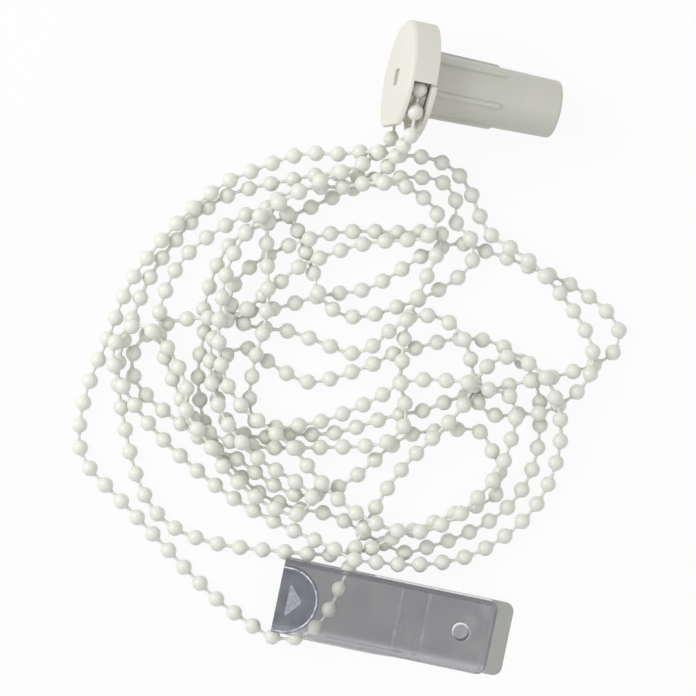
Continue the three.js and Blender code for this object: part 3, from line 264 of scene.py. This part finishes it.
def make_cord(centres, material):
    """A tube through every bead, from the winder's wheel round the whole chain and back to it, of two
    strands laid round each other, and the points that it follows."""
    _, across, up = carried_frames(centres)
    heading = (np.roll(centres, -1, axis=0) - np.roll(centres, 1, axis=0)) / 2
    turns = np.linspace(0, 2 * math.pi, CORD_SIDES, endpoint=False)
    points = []
    path = []
    travelled = 0
    for number, (start, leaving) in enumerate(zip(centres, heading)):
        after = (number + 1) % len(centres)
        end, arriving = centres[after], heading[after]
        for step in range(CORD_STEPS if after else CORD_STEPS + 1):
            share = step / CORD_STEPS
            middle = curve_between(start, leaving, end, arriving, share)
            travelled += np.linalg.norm(middle - path[-1]) if path else 0
            side = across[number] * (1 - share) + across[after] * share
            top = up[number] * (1 - share) + up[after] * share
            lay = 2 * math.pi * travelled / CORD_LAY
            for turn in turns:
                radius = CORD_RADIUS * (1 - CORD_STRAND_DEPTH * (1 - math.cos(2 * (turn - lay))) / 2)
                points.append(middle + radius * (side * math.cos(turn) + top * math.sin(turn)))
            path.append(middle)
    faces = rings_of_faces(0, len(path), CORD_SIDES)
    last = (len(path) - 1) * CORD_SIDES
    faces.append(tuple(reversed(range(CORD_SIDES))))
    faces.append(tuple(last + side for side in range(CORD_SIDES)))
    return mesh_piece("cord", points, faces, material), path, float(travelled)


# Finishes
class Field:
    """What a shader node gives out, written into sums as a number."""

    def __init__(self, tree, socket):
        self.tree = tree
        self.socket = socket

    def worked(self, operation, first, second):
        node = self.tree.nodes.new("ShaderNodeMath")
        node.operation = operation
        plug(self.tree, node.inputs[0], first)
        plug(self.tree, node.inputs[1], second)
        return Field(self.tree, node.outputs[0])

    def __add__(self, other):
        return self.worked("ADD", self, other)

    def __sub__(self, other):
        return self.worked("SUBTRACT", self, other)

    def __mul__(self, other):
        return self.worked("MULTIPLY", self, other)

    def __pow__(self, power):
        return self.worked("POWER", self, power)

    def __rsub__(self, other):
        return self.worked("SUBTRACT", other, self)

    def at_least(self, lowest):
        return self.worked("MAXIMUM", self, lowest)

    def rising(self, start, end):
        """0 up to start, 1 from end on, and in between in proportion."""
        share = (self - start) * (1 / (end - start))
        share.socket.node.use_clamp = True
        return share

    __radd__ = __add__
    __rmul__ = __mul__


def plug(tree, socket, value):
    if isinstance(value, Field):
        tree.links.new(value.socket, socket)
    else:
        socket.default_value = value


class Finish:
    """A material whose nodes all come from one method."""

    def __init__(self, name):
        self.material = bpy.data.materials.new(name)
        self.material.use_nodes = True
        self.tree = self.material.node_tree
        self.tree.nodes.clear()

    def node(self, kind, settings, values, output=0):
        node = self.tree.nodes.new("ShaderNode" + kind)
        for name, setting in settings.items():
            setattr(node, name, setting)
        for name, value in values.items():
            plug(self.tree, node.inputs[name], value)
        return Field(self.tree, node.outputs[output])

    def place(self):
        return self.node("TexCoord", {}, {}, "Object")

    def reach(self, origin, direction):
        """How far a place lies from the origin along the direction."""
        values = {0: self.place(), 1: tuple(direction)}
        return self.node("VectorMath", {"operation": "DOT_PRODUCT"}, values, "Value") - origin.dot(direction)

    def noise(self, size, detail=3.0, roughness=0.55):
        """Noise from 0 to 1 whose patches are about that size."""
        values = {"Vector": self.place(), "Scale": 1 / size, "Detail": detail, "Roughness": roughness}
        return self.node("TexNoise", {}, values, "Fac")

    def blend(self, factor, first, second):
        values = {0: factor, 6: first, 7: second}
        return self.node("Mix", {"data_type": "RGBA"}, values, 2)

    def bump(self, height, depth, strength=1.0):
        return self.node("Bump", {}, {"Height": height, "Distance": depth, "Strength": strength})

    def surface(self, shader):
        output = self.tree.nodes.new("ShaderNodeOutputMaterial")
        plug(self.tree, output.inputs["Surface"], shader)
        return self.material


def moulded_plastic(name, pale, deep, roughness, mottle, grain, grain_depth, scatter):
    """Opaque moulded plastic: slow changes of tone, a fine grain, and a little light let in."""
    finish = Finish(name)
    tone = finish.noise(mottle)
    fine = finish.noise(grain, detail=5.0)
    shader = finish.node("BsdfPrincipled", {}, {
        "Base Color": finish.blend(tone, deep, pale),
        "Roughness": roughness + (fine - 0.5) * GRAIN_GLOSS,
        "Normal": finish.bump(fine, grain_depth),
        "Subsurface Weight": scatter,
        "Subsurface Radius": LIGHT_REACH_OF_COLOURS,
        "Subsurface Scale": LIGHT_REACH,
    })
    return finish.surface(shader)


def steel(name, colour, roughness, scratch):
    """Bare or plated steel with fine marks."""
    finish = Finish(name)
    marks = finish.noise(scratch, detail=6.0)
    shader = finish.node("BsdfPrincipled", {}, {
        "Base Color": colour,
        "Metallic": 1.0,
        "Roughness": roughness + marks * SCRATCH_GLOSS,
        "Normal": finish.bump(marks, SCRATCH_DEPTH),
    })
    return finish.surface(shader)


def clear_glass(finish, tint, roughness):
    """Clear plastic with a moulded ripple and fine scuffs."""
    ripple = finish.noise(RIPPLE_SIZE, detail=1.0)
    scuffs = finish.noise(SCUFF_SIZE, detail=4.0, roughness=0.7)
    return finish.node("BsdfPrincipled", {}, {
        "Base Color": tint,
        "Roughness": roughness + scuffs * SCUFF_GLOSS,
        "IOR": CLEAR_IOR,
        "Transmission Weight": 1.0,
        "Normal": finish.bump(ripple + scuffs * SCUFF_SHARE, RIPPLE_DEPTH, 0.5),
    })


def open_to_lamps(finish, shader):
    """Lets the lamps reach what lies inside or behind the clear plastic."""
    passed = finish.node("BsdfTransparent", {}, {"Color": (0.97, 0.97, 0.97, 1)})
    from_lamp = finish.node("LightPath", {}, {}, "Is Shadow Ray")
    return finish.surface(finish.node("MixShader", {}, {0: from_lamp, 1: shader, 2: passed}))


def tensioner_places(finish):
    """How far a place lies along the tensioner from its hub end, across it from its upper edge, where lower
    places count as negative, and above the table."""
    ahead = Vector((math.cos(TENSIONER_YAW), math.sin(TENSIONER_YAW), 0))
    across = Vector((-ahead.y, ahead.x, 0))
    return [finish.reach(TENSIONER_CORNER, way) for way in (ahead, across, Vector((0, 0, 1)))]


def slow_tint(finish, deep, pale):
    """A tint that drifts between two as slowly as the ripple."""
    return finish.blend(finish.noise(RIPPLE_SIZE, detail=1.0), deep, pale)


def frosting_and_painted_highlights(finish, share, glass):
    """Clear plastic that turns pale and matt over that share: real frosting in some places, painted highlights
    in others.
    """
    frosting_and_highlight = finish.node("BsdfPrincipled", {}, {"Base Color": (0.84, 0.84, 0.88, 1), "Roughness": 0.4})
    return open_to_lamps(finish, finish.node("MixShader", {}, {0: share, 1: glass, 2: frosting_and_highlight}))


def clear_base_plastic():
    """The base: deeper where the front lies over it, a painted shadow of the front; a paler band under the
    front's lower wall, painted light of that wall seen through the plastic; greener at its free end; and pale
    matt lines on the catch ribs' tops.
    """
    finish = Finish("clear base")
    along, across, height = tensioner_places(finish)
    wall_face = WALL_THICKNESS - TENSIONER_WIDTH
    under_lower_wall = 1 - across.rising(wall_face, wall_face + 1.2 * WALL_THICKNESS)
    past_front = along.rising(FRONT_LENGTH, FRONT_LENGTH + 2 * MASK_EDGE)
    # Deeper under the front than at the free end: painted shadow of the front over the base.
    tint = slow_tint(finish, (0.29, 0.29, 0.295, 1), (0.35, 0.35, 0.35, 1))
    # Paler under the front's lower wall: painted light of that wall seen through the plastic.
    tint = finish.blend(under_lower_wall, tint, (0.46, 0.46, 0.47, 1))
    tint = finish.blend(past_front, tint, (0.34, 0.35, 0.33, 1))

    # Pale matt lines, in blotches, along the catch ribs' tops.
    on_ribs = (height.rising(CATCH_RIB_TOP - MASK_EDGE, CATCH_RIB_TOP - 2 * MASK_EDGE / 3)
               * along.rising(PAST_HUB, 1.1 * PAST_HUB))
    blotches = finish.noise(2.2 * MM, detail=2.0).rising(0.35, 0.6)
    pale_rib_lines = on_ribs * (0.05 + blotches * 0.17)
    return frosting_and_painted_highlights(finish, pale_rib_lines, clear_glass(finish, tint, BASE_ROUGHNESS))


def clear_front_plastic():
    """The front: a deeper tint in the shield, painted shade of its recess; walls that show as a dark and a
    pale band, painted shade and painted light;
    a dark end wall, a dark band round the shield's rim and a dark patch over the base's screw hole, all
    painted shade; and pale matt places:
    a painted highlight on the shield's rim, real frosting in the pointer, and a painted highlight ring over
    the rim of the base's screw hole."""
    finish = Finish("clear front")
    along, across, height = tensioner_places(finish)
    edge = MASK_EDGE
    wall_face = 2 * WALL_THICKNESS - TENSIONER_WIDTH

    from_shield = ((along - SHIELD_STRAIGHT).at_least(0) ** 2 + (across - SHIELD_ACROSS) ** 2) ** 0.5
    rim_middle = (SHIELD_INNER_RADIUS + SHIELD_OUTER_RADIUS) / 2
    in_shield = 1 - from_shield.rising(rim_middle - edge, rim_middle + edge)
    in_rim = 1 - from_shield.rising(SHIELD_OUTER_RADIUS, SHIELD_OUTER_RADIUS + edge)
    from_hole = ((along - SCREW_HOLE_ALONG) ** 2 + (across - SCREW_HOLE_ACROSS) ** 2) ** 0.5
    in_hole = 1 - from_hole.rising(SCREW_HOLE_RADIUS - edge, SCREW_HOLE_RADIUS + edge)
    in_upper_wall = across.rising(-WALL_THICKNESS - edge, -WALL_THICKNESS + edge)
    in_lower_wall = 1 - across.rising(wall_face - 4 * edge, wall_face + edge)
    in_end = along.rising(FRONT_LENGTH - 3 * edge, FRONT_LENGTH - 2 * edge)

    tint = slow_tint(finish, (0.71, 0.71, 0.73, 1), (0.85, 0.85, 0.86, 1))
    # Pale band in the lower wall: painted light. Dark band in the upper wall, dark end wall, dark patch over
    # the screw hole and dark band round the shield's rim: painted shade.
    tint = finish.blend(in_lower_wall, tint, (0.88, 0.88, 0.90, 1))
    tint = finish.blend(in_upper_wall, tint, (0.58, 0.58, 0.62, 1))
    tint = finish.blend(in_end, tint, (0.42, 0.42, 0.54, 1))
    tint = finish.blend(in_hole, tint, (0.33, 0.33, 0.34, 1))
    tint = finish.blend(in_rim, tint, (0.42, 0.43, 0.49, 1))
    # The shield's deeper tint, mottled: painted shade of its recess.
    shield_tone = finish.noise(3.5 * MM, detail=2.0).rising(0.3, 0.7)
    painted_shield_shade = finish.blend(shield_tone, (0.44, 0.47, 0.53, 1), (0.65, 0.67, 0.74, 1))
    tint = finish.blend(in_shield, tint, painted_shield_shade)

    blotches = finish.noise(0.9 * MM, detail=3.0).rising(0.35, 0.6)
    streak = finish.noise(2.5 * MM, detail=2.0).rising(0.4, 0.6)
    # Pale matt streaks on the shield's rim: painted highlight.
    painted_rim_highlight = height.rising(SHIELD_FACE + edge / 2, SHIELD_FACE + edge) * in_shield
    on_pointer = (height.rising(POINTER_FLOOR - edge, POINTER_FLOOR - edge / 2)
                  * (1 - height.rising(POINTER_FLOOR + edge / 2, POINTER_FLOOR + edge)) * in_shield)
    # Pale matt ring over the rim of the base's screw hole: painted highlight.
    painted_hole_ring = (from_hole.rising(SCREW_HOLE_RADIUS - edge, SCREW_HOLE_RADIUS)
                  * (1 - from_hole.rising(SCREW_HOLE_RADIUS + edge, SCREW_HOLE_RADIUS + 2 * edge)))
    frosting_and_highlight_share = painted_rim_highlight * (0.2 + streak * 0.7) + on_pointer * (0.26 + blotches * 0.16) + painted_hole_ring * streak * 0.3
    return frosting_and_painted_highlights(finish, frosting_and_highlight_share, clear_glass(finish, tint, FRONT_ROUGHNESS))


# The winder and the tensioner keep their solids, with their edges softened as moulding leaves them
def dress(name, material, edge, edge_angle=EDGE_ANGLE):
    piece = nodes[name]
    piece.data.materials.clear()
    piece.data.materials.append(material)
    piece.data.polygons.foreach_set("use_smooth", [True] * len(piece.data.polygons))
    weld = piece.modifiers.new("weld", "WELD")
    weld.merge_threshold = WELD_DISTANCE
    bevel = piece.modifiers.new("edge", "BEVEL")
    bevel.width = edge
    bevel.segments = BEVEL_SEGMENTS
    bevel.limit_method = "ANGLE"
    bevel.angle_limit = math.radians(edge_angle)
    sharp = piece.modifiers.new("sharp", "EDGE_SPLIT")
    sharp.split_angle = math.radians(edge_angle)
    even = piece.modifiers.new("even", "WEIGHTED_NORMAL")
    even.keep_sharp = True


# Floor, light and background
def make_stage():
    finish = Finish("paper")
    rays = finish.tree.nodes.new("ShaderNodeLightPath")
    seen = [Field(finish.tree, rays.outputs[name])
            for name in ("Is Camera Ray", "Is Glossy Ray", "Is Transmission Ray")]
    paper = finish.node("BsdfDiffuse", {}, {"Color": (0.8, 0.8, 0.8, 1)})
    white = finish.node("Emission", {}, {"Color": (1, 1, 1, 1), "Strength": 1.0})
    share = (seen[0] + seen[1] + seen[2]) * WHITE_SHARE
    shader = finish.node("MixShader", {}, {0: share, 1: paper, 2: white})
    finish.surface(shader)
    half = FLOOR_SIZE / 2
    corners = [(-half, -half, 0), (half, -half, 0), (half, half, 0), (-half, half, 0)]
    floor = mesh_piece("floor", corners, [(0, 1, 2, 3)], finish.material, smooth=False)
    floor.location.z = -FLOOR_DROP


def make_world():
    world = bpy.data.worlds.new("room")
    bpy.context.scene.world = world
    world.use_nodes = True
    tree = world.node_tree
    tree.nodes.clear()
    rays = tree.nodes.new("ShaderNodeLightPath")
    room = tree.nodes.new("ShaderNodeBackground")
    room.inputs["Color"].default_value = (0.98, 0.99, 1.0, 1)
    room.inputs["Strength"].default_value = ROOM_STRENGTH
    white = tree.nodes.new("ShaderNodeBackground")
    white.inputs["Color"].default_value = (1, 1, 1, 1)
    white.inputs["Strength"].default_value = 1.0
    mix = tree.nodes.new("ShaderNodeMixShader")
    output = tree.nodes.new("ShaderNodeOutputWorld")
    tree.links.new(rays.outputs["Is Camera Ray"], mix.inputs[0])
    tree.links.new(room.outputs[0], mix.inputs[1])
    tree.links.new(white.outputs[0], mix.inputs[2])
    tree.links.new(mix.outputs[0], output.inputs["Surface"])


def make_lamp(name, place, size, power):
    """A round lamp over the table that points at the middle of the heap."""
    data = bpy.data.lights.new(name, "AREA")
    data.shape = "DISK"
    data.size = size
    data.energy = power
    lamp = bpy.data.objects.new(name, data)
    lamp.location = place
    lamp.rotation_euler = (-Vector(place)).to_track_quat("-Z", "Y").to_euler()
    bpy.context.scene.collection.objects.link(lamp)


make_camera()

chain_plastic = moulded_plastic(
    "chain plastic", pale=(0.84, 0.84, 0.77, 1), deep=(0.76, 0.76, 0.69, 1), roughness=0.3,
    mottle=7 * MM, grain=0.6 * MM, grain_depth=0.02 * MM, scatter=0.25,
)
cord_fibre = moulded_plastic(
    "cord fibre", pale=(0.88, 0.88, 0.81, 1), deep=(0.66, 0.65, 0.60, 1), roughness=0.5,
    mottle=1.2 * MM, grain=0.18 * MM, grain_depth=0.08 * MM, scatter=0.25,
)
winder_plastic = moulded_plastic(
    "winder plastic", pale=(0.79, 0.77, 0.69, 1), deep=(0.73, 0.71, 0.62, 1), roughness=0.42,
    mottle=12 * MM, grain=0.35 * MM, grain_depth=0.02 * MM, scatter=0.08,
)
# The plug's plastic is darker than the winder's: partly its own tan moulding, partly painted shade for the
# plug lying in half shade.
shaded_plug_plastic = moulded_plastic(
    "shaded plug plastic", pale=(0.66, 0.65, 0.565, 1), deep=(0.58, 0.58, 0.525, 1), roughness=0.42,
    mottle=10 * MM, grain=0.35 * MM, grain_depth=0.02 * MM, scatter=0.08,
)
spring_wire = steel("spring wire", (0.55, 0.56, 0.58, 1), roughness=0.3, scratch=0.3 * MM)
screw_plating = steel("screw plating", (0.76, 0.77, 0.79, 1), roughness=0.22, scratch=0.5 * MM)

centres = bead_centres()
cord, cord_path, cord_length = make_cord(centres, cord_fibre)
beads = make_beads(centres, chain_plastic)
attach(cord, HEAP_BODY)
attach(beads, HEAP_BODY)
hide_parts("bead_chain")

for name in ("winder_housing", "winder_back_plate", "drive_wheel"):
    dress(name, winder_plastic, 0.18 * MM)
dress("tube_plug", shaded_plug_plastic, 0.12 * MM)
for number in (1, 2, 3):
    dress(f"wrap_spring_{number}", spring_wire, 0.08 * MM, WIRE_EDGE_ANGLE)
dress("retaining_screw", screw_plating, 0.08 * MM)
dress("tensioner_base", clear_base_plastic(), 0.2 * MM)
dress("tensioner_front", clear_front_plastic(), 0.2 * MM)

make_stage()
make_world()
make_lamp("key", (-0.52, 0.24, 0.48), size=0.5, power=2.9)
make_lamp("fill", (0.35, -0.15, 0.75), size=0.6, power=0.7)

bpy.context.scene.view_settings.view_transform = "Standard"
